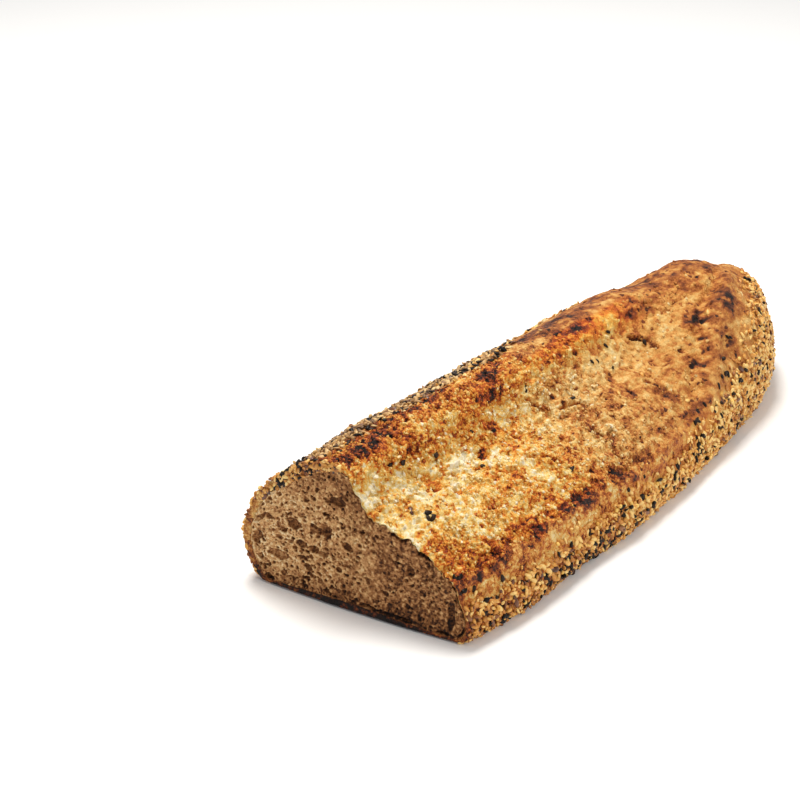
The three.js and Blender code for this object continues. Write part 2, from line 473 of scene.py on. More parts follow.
def crustPoint(share, around):
    # the plain loaf pushed out along its normal by the relief; the cut stays flat but for its foot, nothing
    # comes before it, and the base is uneven by a tenth of a millimetre or two
    place = loafPoint(share, around)
    normal = loafNormal(share, around)
    outwards, fields = crustFields(share, around, place)
    point = place + normal * outwards[:, None]
    depth = cutDepth(point)
    onCut = -footSwell(*(point - shift).T[1:])
    behind = np.where(share == 0, onCut, np.maximum(depth, onCut + 0.02))
    point += (behind - depth)[:, None] * cutAcross
    low = loaf["restsAt"] + 0.12 * latticeNoise(place, 3.0, 51) + 0.1 * latticeNoise(place, 1.4, 52)
    point[:, 2] = np.maximum(point[:, 2], low)
    return point, normal, fields


def gridTriangles(rows, columns, closed):
    # two triangles per cell of a grid; a closed grid joins its last column to its first
    i, j = np.meshgrid(np.arange(rows - 1), np.arange(columns if closed else columns - 1), indexing="ij")
    a = (i * columns + j).ravel()
    b = (i * columns + (j + 1) % columns).ravel()
    c, d = a + columns, b + columns
    return np.concatenate([np.stack([a, b, d], -1), np.stack([a, d, c], -1)])


def fanTriangles(centre, ring, turned):
    # closes a ring of points onto one centre point
    after = np.roll(ring, -1)
    outer = (after, ring) if turned else (ring, after)
    return np.stack([np.full(len(ring), centre), *outer], -1)


def makePiece(name, points, triangles, material, attributes, smoothFaces=True):
    # mesh from arrays; if its volume comes out negative its faces are turned outwards
    corners = points[triangles]
    volume = np.einsum("ij,ij->i", corners[:, 0], np.cross(corners[:, 1], corners[:, 2])).sum()
    if volume < 0:
        triangles = triangles[:, ::-1]
    mesh = bpy.data.meshes.new(name)
    mesh.vertices.add(len(points))
    mesh.vertices.foreach_set("co", (points * mm).astype(np.float32).ravel())
    mesh.loops.add(triangles.size)
    mesh.loops.foreach_set("vertex_index", triangles.astype(np.int32).ravel())
    mesh.polygons.add(len(triangles))
    mesh.polygons.foreach_set("loop_start", np.arange(0, triangles.size, 3, dtype=np.int32))
    mesh.polygons.foreach_set("use_smooth", np.full(len(triangles), smoothFaces))
    for label, values in attributes.items():
        layer = mesh.attributes.new(label, "FLOAT", "POINT")
        layer.data.foreach_set("value", values.astype(np.float32))
    mesh.update(calc_edges=True)
    mesh.materials.append(material)
    piece = bpy.data.objects.new(name, mesh)
    bpy.context.scene.collection.objects.link(piece)
    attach(piece, "root")
    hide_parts("loaf")
    print(name, len(triangles), "triangles")


def linear(hexColour):
    # sRGB hex to linear light
    parts = [int(hexColour[i:i + 2], 16) / 255 for i in (1, 3, 5)]
    return [part / 12.92 if part <= 0.04045 else ((part + 0.055) / 1.055) ** 2.4 for part in parts] + [1]


def startMaterial(name):
    material = bpy.data.materials.new(name)
    material.use_nodes = True
    material.node_tree.nodes.clear()
    return material


def addNode(material, kind, inputs=None, stops=None, **settings):
    # one node: its settings, its inputs as plain values or sockets to link from, and a ramp's colour stops
    tree = material.node_tree
    node = tree.nodes.new("ShaderNode" + kind)
    for key, value in settings.items():
        setattr(node, key, value)
    for key, value in (inputs or {}).items():
        if isinstance(value, bpy.types.NodeSocket):
            tree.links.new(value, node.inputs[key])
        else:
            node.inputs[key].default_value = value
    for index, (position, colour) in enumerate(stops or []):
        elements = node.color_ramp.elements
        element = elements[index] if index < 2 else elements.new(position)
        element.position = position
        element.color = linear(colour)
    return node


# bread crust, baked in a stone oven: cream where the dough tore open late, then gold, brown and char.
# It gives the eye a dry, granular skin with sharp little changes of colour and a faint, patchy sheen.
def bakedCrust():
    material = startMaterial("bakedCrust")
    place = addNode(material, "TexCoord").outputs["Object"]
    inMm = addNode(material, "Mapping", {"Vector": place, "Scale": (1000, 1000, 1000)}).outputs["Vector"]
    toastAndShade = addNode(material, "Attribute", attribute_name="toastAndShade").outputs["Fac"]
    coarse = addNode(material, "Attribute", attribute_name="coarse").outputs["Fac"]
    # crumbs of torn dough are 0.5 to 1 mm across; drawn at 1.2 mm so that they show
    crumbs = addNode(material, "TexVoronoi", {
        "Vector": inMm, "Scale": 1 / crust["crumbSize"], "Randomness": 1})
    crumbPick = addNode(material, "SeparateColor", {"Color": crumbs.outputs["Color"]})
    specks = addNode(material, "TexNoise", {
        "Vector": inMm, "Scale": 1 / crust["speckSize"], "Detail": 6, "Roughness": 0.8}).outputs["Fac"]
    dust = addNode(material, "TexNoise", {
        "Vector": inMm, "Scale": 1 / crust["dustSize"], "Detail": 2}).outputs["Fac"]
    # each crumb has its own browning, and painted shade darkens the gaps between crumbs
    ownShade, paintedGapShade, speckShade, dustShade = crust["grain"]
    grain = -(ownShade + speckShade / 2 + dustShade / 2)
    for source, strength in ((crumbPick.outputs["Red"], ownShade), (crumbs.outputs["Distance"], paintedGapShade),
                             (specks, speckShade), (dust, dustShade)):
        grain = addNode(material, "Math", {0: source, 1: strength, 2: grain},
                        operation="MULTIPLY_ADD").outputs[0]
    # about one crumb in eighteen is bran and burns dark
    bran = addNode(material, "MapRange", {
        "Value": crumbPick.outputs["Green"], "From Min": 0.93, "From Max": 0.96,
        "To Max": crust["branShade"]}).outputs["Result"]
    base = addNode(material, "Math", {0: toastAndShade, 1: bran}, operation="ADD").outputs[0]
    value = addNode(material, "Math", {0: grain, 1: coarse, 2: base}, operation="MULTIPLY_ADD").outputs[0]
    # torn dough browns orange, the floured skin of the rolled loaf browns tan
    torn = addNode(material, "ValToRGB", {"Fac": value}, stops=crust["tornColours"]).outputs["Color"]
    skin = addNode(material, "ValToRGB", {"Fac": value}, stops=crust["skinColours"]).outputs["Color"]
    rolled = addNode(material, "Attribute", attribute_name="rolled").outputs["Fac"]
    colour = addNode(material, "Mix", {"Factor": rolled, "A": torn, "B": skin},
                     data_type="RGBA").outputs["Result"]
    rough = addNode(material, "MapRange", {"Value": dust, "To Min": 0.5, "To Max": 0.85}).outputs["Result"]
    height = addNode(material, "Math", {0: crumbs.outputs["Distance"], 1: -0.6, 2: specks},
                     operation="MULTIPLY_ADD").outputs[0]
    bump = addNode(material, "Bump", {
        "Height": height, "Strength": 0.9, "Distance": crust["bumpHeight"]}).outputs["Normal"]
    shader = addNode(material, "BsdfPrincipled", {
        "Base Color": colour, "Roughness": rough, "Normal": bump, "IOR": 1.45, "Specular IOR Level": 0.4})
    addNode(material, "OutputMaterial", {"Surface": shader.outputs["BSDF"]})
    return material


crust = {
    "rows": 388,
    # columns of points: from step, to step, how many
    "columns": [(1, 6, 80), (6, 12.8, 132), (12.8, 15, 28), (15, 18, 12)],
    "rowsGather": (0.4, 1.2),        # towards both ends, and more towards the round one
    # seen on the cut: how thick the baked skin is, and how brown, at steps around; at the base the dark
    # is partly bottom crust and partly painted shade where the loaf meets the table
    "rimAround": [0, 1.5, 3, 4.5, 5.6, 6.6, 7.5, 11, 12.5, 14, 15.5, 17],
    "rimWidth": [2.1, 1.9, 2.6, 2.8, 3.4, 2.2, 0.8, 0.6, 1.0, 1.6, 1.9, 2.1],
    "rimToastAndShade": [0.9, 0.78, 0.34, 0.38, 0.68, 0.75, 0.3, 0.1, 0.35, 0.55, 0.75, 0.88],
    "recess": 4.6,        # how deep the hollow for the crumb is, behind the cut's plane, in mm
    "lipSinks": 0.25,        # how far the rim's inner edge is let in, in mm
    # the crumbs, specks and flour dust of the material, in mm
    "crumbSize": 1.2,
    "speckSize": 1.7,
    "dustSize": 0.5,
    "grain": (0.26, 0.25, 1.3, 0.7),        # each crumb's own shade, painted shade in the gaps, specks and dust
    "branShade": 0.25,
    "bumpHeight": 0.0009,        # in metres
    "skinColours": [
        (0.0, "#F6E5BD"), (1.0, "#150B08"), (0.12, "#EFD59C"), (0.26, "#E3BB76"), (0.4, "#D49C52"),
        (0.53, "#BC7735"), (0.66, "#96511F"), (0.79, "#622F13"), (0.9, "#36190D")],
    "tornColours": [
        (0.0, "#F9EDD0"), (1.0, "#150B08"), (0.05, "#F6E2AC"), (0.14, "#F1D389"), (0.26, "#EABB5A"),
        (0.4, "#E3932D"), (0.53, "#CC6618"), (0.66, "#A2400E"), (0.79, "#68260D"), (0.9, "#38160B")],
}


def rimAt(field, around):
    # a column of the rim's table, read between its steps
    return np.interp(np.asarray(around) % steps, crust["rimAround"], crust[field])


def cutMiddle(share):
    # the middle of the cut, at that share of the loaf's height
    return shift + np.array([0, 0, share * loaf["height"]])


def makeCrust(material):
    # a closed grid: rows along the loaf at 1 - (1 - t + a sin(2 pi t) / (2 pi))^b, columns round it
    around = np.concatenate([
        np.linspace(low, high, count, endpoint=False) for low, high, count in crust["columns"]])
    columns = len(around)
    bothEnds, roundEnd = crust["rowsGather"]
    t = np.linspace(0, 1, crust["rows"], endpoint=False)
    share = 1 - (1 - t + bothEnds * np.sin(2 * pi * t) / (2 * pi)) ** roundEnd
    rowShare, rowAround = (grid.ravel() for grid in np.meshgrid(share, around, indexing="ij"))
    point, _, fields = crustPoint(rowShare, rowAround)
    # the cut end: a rim in the plane of the cut, then a recess that the crumb fills
    edge = point[:columns]
    middle = cutMiddle(loaf["cutMiddle"])
    inward = middle - edge
    reach = np.linalg.norm(inward, axis=1)[:, None]
    width = rimAt("rimWidth", around)[:, None]
    lip = edge + inward * 0.9 * width / reach
    lip += crust["lipSinks"] * (1 + latticeNoise(lip, 1.8, 55))[:, None] * cutAcross
    floor = edge + inward * (width + 1.5) / reach + crust["recess"] * cutAcross
    rings = np.concatenate([floor, lip])
    tip = loafPoint(np.array([1.0]), np.array([0.0]))
    back = (middle + crust["recess"] * cutAcross)[None]
    points = np.concatenate([rings, point, back, tip])
    total = (crust["rows"] + 2) * columns
    ring = np.arange(columns)
    triangles = np.concatenate([
        gridTriangles(crust["rows"] + 2, columns, True),
        fanTriangles(total, ring, True),
        fanTriangles(total + 1, ring + total - columns, False)])
    rimToastAndShade = rimAt("rimToastAndShade", around) + 0.25 * latticeNoise(edge, 2.0, 56)
    toastAndShade = np.concatenate([np.tile(rimToastAndShade, 2), fields["toastAndShade"], [0.5, 0.55]])
    coarse = np.concatenate([np.full(len(rings), 0.7), fields["coarse"], [0.5, 0.5]])
    rolled = np.concatenate([np.ones(len(rings)), fields["rolled"], [1, 1]])
    makePiece("crust", points, triangles, material, {
        "toastAndShade": toastAndShade, "coarse": coarse, "rolled": rolled})


crustMaterial = bakedCrust()
makeCrust(crustMaterial)
print("crust baked")

# the crumb on the cut face: the larger pores as sideways, up, half width, half height, in mm on the cut
crumb = {
    "across": 400,
    "upwards": 236,
    "depth": 6.0,        # how thick the piece is, in mm
    "middle": 0.38,        # the height of its middle, as a share
    "taper": 2.0,        # mm that its back is drawn in, to stay inside the crust
    "bumpHeight": 0.0006,        # in metres
    "mottleSize": 1.5,
    "fleckSize": 0.8,
    "grain": (0.9, 0.34),        # mottle and flecks
    # how pale the crumb is, from 0 to 1, and how much paler or darker it is in places: darker in hollows,
    # on the right and at the foot as painted shade, paler on the walls of bubbles as painted light
    "pale": 0.55,
    "shadeInHollows": -0.25,
    "shadeInDeepOnes": -0.14,
    "lightOnWalls": 0.12,
    "onLeft": 0.1,
    "shadeOnRight": -0.15,
    "atTop": -0.12,
    "atRim": 0.12,
    "shadeAtFoot": -0.3,
    "pores": [
        (5.5, 34.5, 2.4, 1.5), (16, 32, 1.0, 0.8), (20.5, 23, 2.4, 1.8), (25.5, 21, 0.9, 1.5),
        (14, 23, 1.0, 1.4), (10, 23.5, 2.2, 2.0), (18, 17, 1.9, 1.1), (2.5, 20.5, 1.7, 1.3),
        (25.5, 17, 1.3, 0.8), (11, 15.5, 1.3, 1.0), (26, 11, 3.3, 1.5), (29, 23, 1.2, 0.9),
        (33, 15.5, 1.8, 1.4), (-4, 11.5, 0.8, 0.9), (-17.5, 7, 1.5, 0.8), (22, 16.5, 0.9, 0.7),
        (18, 26.5, 1.1, 0.8), (33.5, 21, 1.5, 1.0), (13.5, 33.5, 1.1, 0.8), (3, 14, 1.4, 0.7),
        (-18, 19, 1.2, 1.3), (-10, 9, 1.0, 0.8), (-21.5, 13.5, 1.3, 0.7), (-31, 8.5, 1.3, 4.6)],
    # smaller bubbles: their cell size and largest radius in cells, depth in mm, how many of them are open
    "bubbles": [
        (4.0, 0.33, 1.8, 0.6), (2.5, 0.36, 1.3, 0.65), (1.6, 0.42, 0.8, 0.75), (1.05, 0.42, 0.45, 0.8)],
    "crumbColours": [
        (0.0, "#1E0F08"), (1.0, "#F2D9AC"), (0.2, "#532F16"), (0.38, "#8A5930"), (0.55, "#B68252"),
        (0.75, "#DAAD74")],
}


# wholegrain crumb, blown open by gas and cut with a serrated knife. It gives the eye a matt, spongy
# grey-brown face, uneven at every size
def wholegrainCrumb():
    material = startMaterial("wholegrainCrumb")
    place = addNode(material, "TexCoord").outputs["Object"]
    inMm = addNode(material, "Mapping", {"Vector": place, "Scale": (1000, 1000, 1000)}).outputs["Vector"]
    toneLightAndShade = addNode(material, "Attribute", attribute_name="toneLightAndShade").outputs["Fac"]
    mottle = addNode(material, "TexNoise", {
        "Vector": inMm, "Scale": 1 / crumb["mottleSize"], "Detail": 5, "Roughness": 0.7})
    # flecks of gelled starch and bran are about 0.4 mm across, drawn at 0.8 mm so that they show
    flecks = addNode(material, "TexVoronoi", {
        "Vector": inMm, "Scale": 1 / crumb["fleckSize"], "Randomness": 1})
    fleckPick = addNode(material, "SeparateColor", {"Color": flecks.outputs["Color"]})
    grain = -sum(crumb["grain"]) / 2
    for source, strength in zip((mottle.outputs["Fac"], fleckPick.outputs["Red"]), crumb["grain"]):
        grain = addNode(material, "Math", {0: source, 1: strength, 2: grain},
                        operation="MULTIPLY_ADD").outputs[0]
    value = addNode(material, "Math", {0: grain, 1: toneLightAndShade}, operation="ADD").outputs[0]
    colour = addNode(material, "ValToRGB", {"Fac": value}, stops=crumb["crumbColours"]).outputs["Color"]
    bump = addNode(material, "Bump", {
        "Height": grain, "Strength": 0.8, "Distance": crumb["bumpHeight"]}).outputs["Normal"]
    shader = addNode(material, "BsdfPrincipled", {
        "Base Color": colour, "Roughness": 0.8, "Normal": bump, "IOR": 1.4, "Specular IOR Level": 0.35})
    addNode(material, "OutputMaterial", {"Surface": shader.outputs["BSDF"]})
    return material


def bowl(away):
    # a round hollow: sqrt(1 - away^2) inside its edge, 0 outside
    return np.sqrt(np.clip(1 - away ** 2, 0, 1))


def crumbDepth(y, z, edgeGap):
    # mm behind the cut: hollows for the pores and ever smaller bubbles, warped by noise, plus a torn
    # roughness; and where the thin walls round them stand
    flat = np.stack([y, z, np.zeros_like(y)], -1)
    warp = np.stack([layeredNoise(flat, 2.4, 2, 61), layeredNoise(flat, 2.4, 2, 63), 0 * y], -1)
    warped = flat + warp * 0.45
    depth = np.zeros_like(y)
    wall = np.zeros_like(y)
    for poreY, poreZ, halfWide, halfHigh in crumb["pores"]:
        away = np.hypot((warped[:, 0] - poreY) / halfWide, (warped[:, 1] - poreZ) / halfHigh) / 1.1
        depth = np.maximum(depth, 0.85 * min(halfWide, halfHigh) * bowl(away ** 1.3))
        wall = np.maximum(wall, hill(away, 1.16, 0.14))
    # gas bubbles are larger on the left, and there are none of the big ones under the ridge
    openness = smooth(-16, 14, y) * smooth(41, 33, z)
    for seed, (size, limit, strength, share) in enumerate(crumb["bubbles"]):
        away, number = nearestSpot(warped * np.array([0.8, 1, 1]), size, 71 + 2 * seed)
        allowed = openness if size > 2 else 0.7 + 0.3 * openness
        radius = np.maximum(limit * (0.55 + 0.6 * number / share) * (0.4 + 0.6 * allowed), 1e-3)
        depth = np.maximum(depth, strength * allowed * bowl(away / radius) * (number < share))
        wall = np.maximum(wall, allowed * (number < share) * hill(away / radius, 1.2, 0.2))
    slanted = np.stack([y + z, (z - y) * 0.5, np.zeros_like(y)], -1)
    rough = 0.3 * np.abs(layeredNoise(slanted, 2.0, 3, 81)) + 0.16 * layeredNoise(flat, 0.8, 2, 85)
    crevice = smooth(1.5, 0.5, edgeGap) * smooth(6, -6, y) * smooth(-0.2, 0.4, latticeNoise(flat, 6.0, 91))
    depth += rough + 1.5 * crevice
    return depth * smooth(0, 0.3, edgeGap) + 0.1, wall * smooth(0.4, 0.1, depth - rough)


def crumbOutline():
    # the crust's outline on the cut, drawn in by the thickness of its rim, as its upper and its lower half
    around = np.linspace(0, steps, 1600, endpoint=False)
    outline = (crustPoint(np.zeros(len(around)), around)[0] - shift)[:, 1:]
    inward = unit((cutMiddle(loaf["cutMiddle"]) - shift)[1:] - outline)
    inset = outline + inward * rimAt("rimWidth", around)[:, None]
    left, right = inset[:, 0].argmax(), inset[:, 0].argmin()
    upper = inset[left:right + 1]
    lower = np.concatenate([inset[right:], inset[:left + 1]])
    return upper[np.argsort(upper[:, 0])], lower[np.argsort(lower[:, 0])]


def makeCrumb():
    # a grid on the cut between the outline's two halves, let in by its depth, with a side and a back
    upper, lower = crumbOutline()
    low, high = max(upper[0, 0], lower[0, 0]), min(upper[-1, 0], lower[-1, 0])
    spread = np.linspace(-1, 1, crumb["across"])
    y = (low + high) / 2 + (high - low) / 2 * (0.9 * spread + 0.1 * np.sin(spread * pi / 2))
    top, bottom = np.interp(y, *upper.T), np.interp(y, *lower.T)
    top = np.maximum(top, bottom + 0.05)
    up = np.linspace(0, 1, crumb["upwards"])
    gridY = np.repeat(y[:, None], len(up), 1)
    gridZ = bottom[:, None] + (top - bottom)[:, None] * up
    edgeGap = np.minimum.reduce([gridZ - bottom[:, None], top[:, None] - gridZ, gridY - low, high - gridY])
    flatY, flatZ, flatGap = gridY.ravel(), gridZ.ravel(), edgeGap.ravel()
    depth, wall = crumbDepth(flatY, flatZ, flatGap)
    plane = np.stack([-tan(loaf["cutSlant"]) * flatY, flatY, flatZ], -1) + shift
    front = plane + (depth - footSwell(flatY, flatZ))[:, None] * cutAcross
    rows, columns = gridY.shape
    index = np.arange(rows * columns).reshape(rows, columns)
    border = np.concatenate([index[:-1, 0], index[-1, :-1], index[:0:-1, -1], index[0, :0:-1]])
    centre = (cutMiddle(crumb["middle"]) + crumb["depth"] * cutAcross)[None]
    backRing = plane[border] + crumb["depth"] * cutAcross
    backRing += crumb["taper"] * unit(centre - backRing)
    points = np.concatenate([front, backRing, centre])
    start = rows * columns
    ring = np.arange(len(border))
    a, b = border, np.roll(border, -1)
    c, d = ring + start, np.roll(ring, -1) + start
    side = np.concatenate([np.stack([a, c, d], -1), np.stack([a, d, b], -1)])
    back = fanTriangles(start + len(border), c, False)
    triangles = np.concatenate([gridTriangles(rows, columns, False), side, back])
    # painted shade darkens the bubbles inside and painted light brightens their walls; the left edge is
    # paler, and painted shade darkens the right side and the foot
    flat = np.stack([flatY, flatZ, np.zeros_like(flatY)], -1)
    toneLightAndShade = crumb["pale"] + 0.1 * layeredNoise(flat, 7.0, 3, 95)
    toneLightAndShade += crumb["shadeInHollows"] * smooth(0.25, 0.7, depth) + crumb["shadeInDeepOnes"] * smooth(1.3, 2.8, depth)
    toneLightAndShade += crumb["onLeft"] * smooth(4, 34, flatY) + crumb["shadeOnRight"] * smooth(6, -16, flatY)
    toneLightAndShade += crumb["atTop"] * smooth(31, 38, flatZ)
    toneLightAndShade += 0.2 * layeredNoise(flat, 1.3, 2, 97) * smooth(14, -10, flatY)
    toneLightAndShade += wall * (crumb["lightOnWalls"] + 0.08 * smooth(0, 20, flatY))
    toneLightAndShade += crumb["atRim"] * smooth(1.0, 0.2, flatGap) * smooth(12, 20, flatZ)
    toneLightAndShade += crumb["shadeAtFoot"] * smooth(9, 0.5, flatZ) * (0.6 + 0.4 * smooth(-30, 10, flatY))
    toneLightAndShade = np.concatenate([toneLightAndShade, np.full(len(border) + 1, 0.4)])
    makePiece("crumb", points, triangles, wholegrainCrumb(), {"toneLightAndShade": toneLightAndShade})


makeCrumb()
print("crumb cut")

# the seeds it was rolled in before baking: sizes in mm, how they mix, and where they gather
seeds = {
    "tries": 170000,
    "spacing": 1.3,
    "sesame": {"size": (2.4, 1.45, 0.85), "waist": 0.3},
    "blackSesame": {"size": (2.5, 1.5, 0.85), "waist": 0.3},
    "linseed": {"size": (3.6, 1.8, 0.9), "waist": 0.22},
    "millet": {"size": (1.5, 1.4, 1.2), "waist": 0.0},
    "shares": {"black": 0.15, "linseed": 0.04, "millet": 0.08},        # the rest is sesame
    "copySizes": (0.82, 1.15),
    "lift": (-0.3, 0.45),        # mm out of the crust, or into it
    "tilt": {"heaped": 0.8, "loose": 0.6, "black": 0.4, "flat": 0.3},
    # mm along where a bed is divided in two, so that each piece stays light
    "divided": {"right": 110, "greyInShade": 80, "left": 140},
    # the upper edges of the beds, in steps around at mm along
    "rightAlong": [0, 10, 32, 60, 70, 116, 140, 166, 186, 205, 225],
    "rightEdge": [13.0, 13.1, 13.15, 13.3, 13.1, 13.25, 13.0, 12.6, 12.0, 10.6, 8.4],
    "leftAlong": [0, 90, 110, 200, 225],
    "leftEdge": [6.2, 6.1, 4.9, 4.6, 4.0],
    # how thickly they lie on the underside, below the score's right edge, and anywhere else
    "under": 0.35,
    "belowLedge": 0.09,
    "anywhere": 0.003,
    "shade": (-0.2, 0.6),
    "likeCrust": 0.7,        # how far they brown with the crust under them
    "onRim": 150,        # extra ones in the rim of the cut, between these steps around
    "rimSpan": (4.0, 6.9),
    "rimBrowner": 0.12,
    # single dark seeds baked into the opened score: along in mm, around in steps
    "strays": [
        (12.6, 10.2), (14.2, 10.02), (13.2, 10.28), (15.0, 10.15), (2, 12.05), (3.5, 12.1), (116, 8.3),
        (119, 8.4), (123, 8.85), (51, 8.25), (127, 8.1), (131, 7.66), (96, 9.0), (81, 7.95), (16, 7.8),
        (20, 7.95), (42, 6.6), (34, 6.3), (28, 6.25), (2, 6.6), (144, 8.8), (135, 12.4), (147, 12.5),
        (70, 11.3), (163, 11.4), (50, 9.05), (171, 11.0), (172.4, 11.1), (188, 12.0), (158, 11.8),
        (160.5, 11.85), (162, 11.9), (167, 12.15), (175, 12.9), (176.6, 12.85), (151, 12.45),
        (152.5, 12.5), (146, 12.55), (142, 12.1), (133, 12.4), (134.5, 12.35), (132, 13.45), (168, 13.0),
        (153, 11.95)],
    # each kind's roughness, how much it shines, and its colours from pale to dark
    "skins": {
        "bakedSesame": (0.42, 0.5, ["#EDC678", "#DA9E49", "#B8752C", "#7C4417"]),
        # greyer and darker than the golden skin: painted shade for the seeds on the left side
        "greySesameInPaintedShade": (0.5, 0.5, ["#DDBA80", "#BA8F57", "#886137", "#4F361E"]),
        "bakedBlackSesame": (0.45, 0.2, ["#2C1F16", "#1B120C", "#120C08", "#0B0705"]),
        "bakedLinseed": (0.32, 0.5, ["#8E5A2E", "#6E3E1E", "#512A16", "#371C10"]),
        "bakedMillet": (0.45, 0.5, ["#EDC468", "#DAA546", "#BF8232", "#8F5920"]),
    },
}


# sesame hulled and black, a greyer sesame skin that is painted shade for the left side, linseed and
# millet, baked: smooth skins with a low waxy shine, each seed browned differently, and linseed the glossiest
def seedSkin(name):
    roughness, shine, (pale, golden, brown, dark) = seeds["skins"][name]
    material = startMaterial(name)
    shade = addNode(material, "Attribute", attribute_name="shade").outputs["Fac"]
    lengthwise = addNode(material, "Attribute", attribute_name="lengthwise").outputs["Fac"]
    place = addNode(material, "TexCoord").outputs["Object"]
    # the skin is mottled about every millimetre
    mottle = addNode(material, "TexNoise", {"Vector": place, "Scale": 1100, "Detail": 2}).outputs["Fac"]
    value = shade
    for source, strength in ((lengthwise, 0.12), (mottle, 0.5)):
        value = addNode(material, "Math", {0: source, 1: strength, 2: value},
                        operation="MULTIPLY_ADD").outputs[0]
    stops = [(0.15, pale), (1.0, dark), (0.42, golden), (0.72, brown)]
    colour = addNode(material, "ValToRGB", {"Fac": value}, stops=stops).outputs["Color"]
    shader = addNode(material, "BsdfPrincipled", {
        "Base Color": colour, "Roughness": roughness, "IOR": 1.47, "Specular IOR Level": shine})
    addNode(material, "OutputMaterial", {"Surface": shader.outputs["BSDF"]})
    return material


def seedShape(size, waist):
    # a flattened drop: rings of radius sqrt(1 - x^2) * (1 - waist * x) from tip to tip
    rings, sides = 5, 6
    x = -np.cos(np.linspace(0, pi, rings + 2))[1:-1]
    radius = np.sqrt(1 - x ** 2) * (1 - waist * x)
    turn = np.arange(sides) / sides * 2 * pi
    body = np.stack([
        np.repeat(x, sides), np.outer(radius, np.cos(turn)).ravel(),
        np.outer(radius, np.sin(turn)).ravel()], -1)
    points = np.concatenate([body, [[-1, 0, 0], [1, 0, 0]]]) * np.array(size) / 2
    ring = np.arange(sides)
    triangles = np.concatenate([
        gridTriangles(rings, sides, True),
        fanTriangles(rings * sides, ring, True),
        fanTriangles(rings * sides + 1, ring + (rings - 1) * sides, False)])
    return points, triangles


def thinned(point, spacing):
    # keeps the first point in each cube of the given size
    cube = np.floor(point / spacing).astype(int)
    first = np.unique(cube @ np.array([1, 1000, 1000000]), return_index=True)[1]
    first.sort()
    return first


def plantCopies(name, shape, point, normal, material, rng, tilt, lift, sizes, fields, paler,
                smoothFaces):
    # every copy of the shape gets its own frame: the crust's normal tilted a little, and a random turn
    # about it; what would stand out of the cut is flattened, and what would go through the table lies on it
    shapePoints, shapeTriangles = shape
    count = len(point)
    up = unit(normal + rng.normal(size=(count, 3)) * tilt)
    ahead = unit(np.cross(up, rng.normal(size=(count, 3))))
    across = np.cross(up, ahead)
    local = shapePoints[None] * sizes[:, None, None]
    points = (point + normal * lift[:, None])[:, None] + (
        local[..., :1] * ahead[:, None] + local[..., 1:2] * across[:, None] + local[..., 2:] * up[:, None])
    points = points.reshape(-1, 3)
    depth = cutDepth(points)
    flattening = 0.02        # the share of its height that a flattened copy keeps
    proud = 0.3        # mm that a copy may stand out of the cut
    points += (np.maximum(depth, -proud + flattening * depth) - depth)[:, None] * cutAcross
    points[:, 2] = np.maximum(points[:, 2], flattening * points[:, 2])
    triangles = shapeTriangles[None] + (np.arange(count) * len(shapePoints))[:, None, None]
    attributes = {label: np.repeat(values, len(shapePoints)) for label, values in fields.items()}
    # painted shade: the undersides, sunk in the crust, are drawn darker and the tops paler
    attributes[paler] -= 0.14 * np.tile(shapePoints[:, 2] / np.abs(shapePoints[:, 2]).max(), count)
    attributes["lengthwise"] = np.tile(shapePoints[:, 0] / np.abs(shapePoints[:, 0]).max(), count)
    makePiece(name, points, triangles.reshape(-1, 3), material, attributes, smoothFaces)


def seedPlaces(rng):
    # many random places on the crust, thinned to one per small cube, then by how thickly seeds lie there
    share = rng.random(seeds["tries"])
    around = rng.random(seeds["tries"]) * steps
    point, normal, fields = crustPoint(share, around)
    first = thinned(point, seeds["spacing"])
    along, around = share[first] * loaf["length"], around[first]
    point, normal = point[first], normal[first]
    inside, toastAndShade = fields["inside"][first], fields["toastAndShade"][first]
    rightEdge = np.interp(along, seeds["rightAlong"], seeds["rightEdge"])
    leftEdge = np.interp(along, seeds["leftAlong"], seeds["leftEdge"])
    thinning = 0.25 + 1.1 * smooth(100, 190, along)        # towards the round end they thin out upwards
    thick = smooth(rightEdge - thinning, rightEdge + 0.35, around) * smooth(15.6, 15.2, around)
    thick += smooth(0.7, 1.1, around) * smooth(leftEdge + 0.25, leftEdge - 0.25, around)
    underneath = smooth(15.2, 15.6, around) + smooth(1.1, 0.7, around)
    thick += seeds["under"] * underneath * smooth(12, 20, along)
    thick += seeds["anywhere"] + seeds["belowLedge"] * (1 - inside) * smooth(12.4, 12.9, around)
    kept = (rng.random(len(along)) < thick) & (cutDepth(point) > 0.25 + 5 * inside)
    # more of them in the skin's thickness where the cut goes through its left shoulder
    rimAround = rng.uniform(*seeds["rimSpan"], seeds["onRim"])
    rim, outward, rimFields = crustPoint(np.zeros(len(rimAround)), rimAround)
    sunk = rng.random(len(rimAround)) * rimAt("rimWidth", rimAround)
    rim = rim - outward * sunk[:, None] + cutAcross * 0.35
    facing = unit(outward - cutAcross)
    return (np.concatenate([along[kept], np.zeros(len(rim))]), np.concatenate([around[kept], rimAround]),
            np.concatenate([point[kept], rim]), np.concatenate([normal[kept], facing]),
            np.concatenate([toastAndShade[kept], rimFields["toastAndShade"] + seeds["rimBrowner"]]))


def plantSeeds(name, kind, chosen, places, material, rng, lie):
    point, normal, toastAndShade, lift = (field[chosen] for field in places)
    sizes = rng.uniform(*seeds["copySizes"], len(point))
    shade = rng.uniform(*seeds["shade"], len(point)) + seeds["likeCrust"] * (toastAndShade - 0.45)
    plantCopies(name, seedShape(**seeds[kind]), point, normal, material, rng, seeds["tilt"][lie],
                lift, sizes, {"shade": shade}, "shade", True)


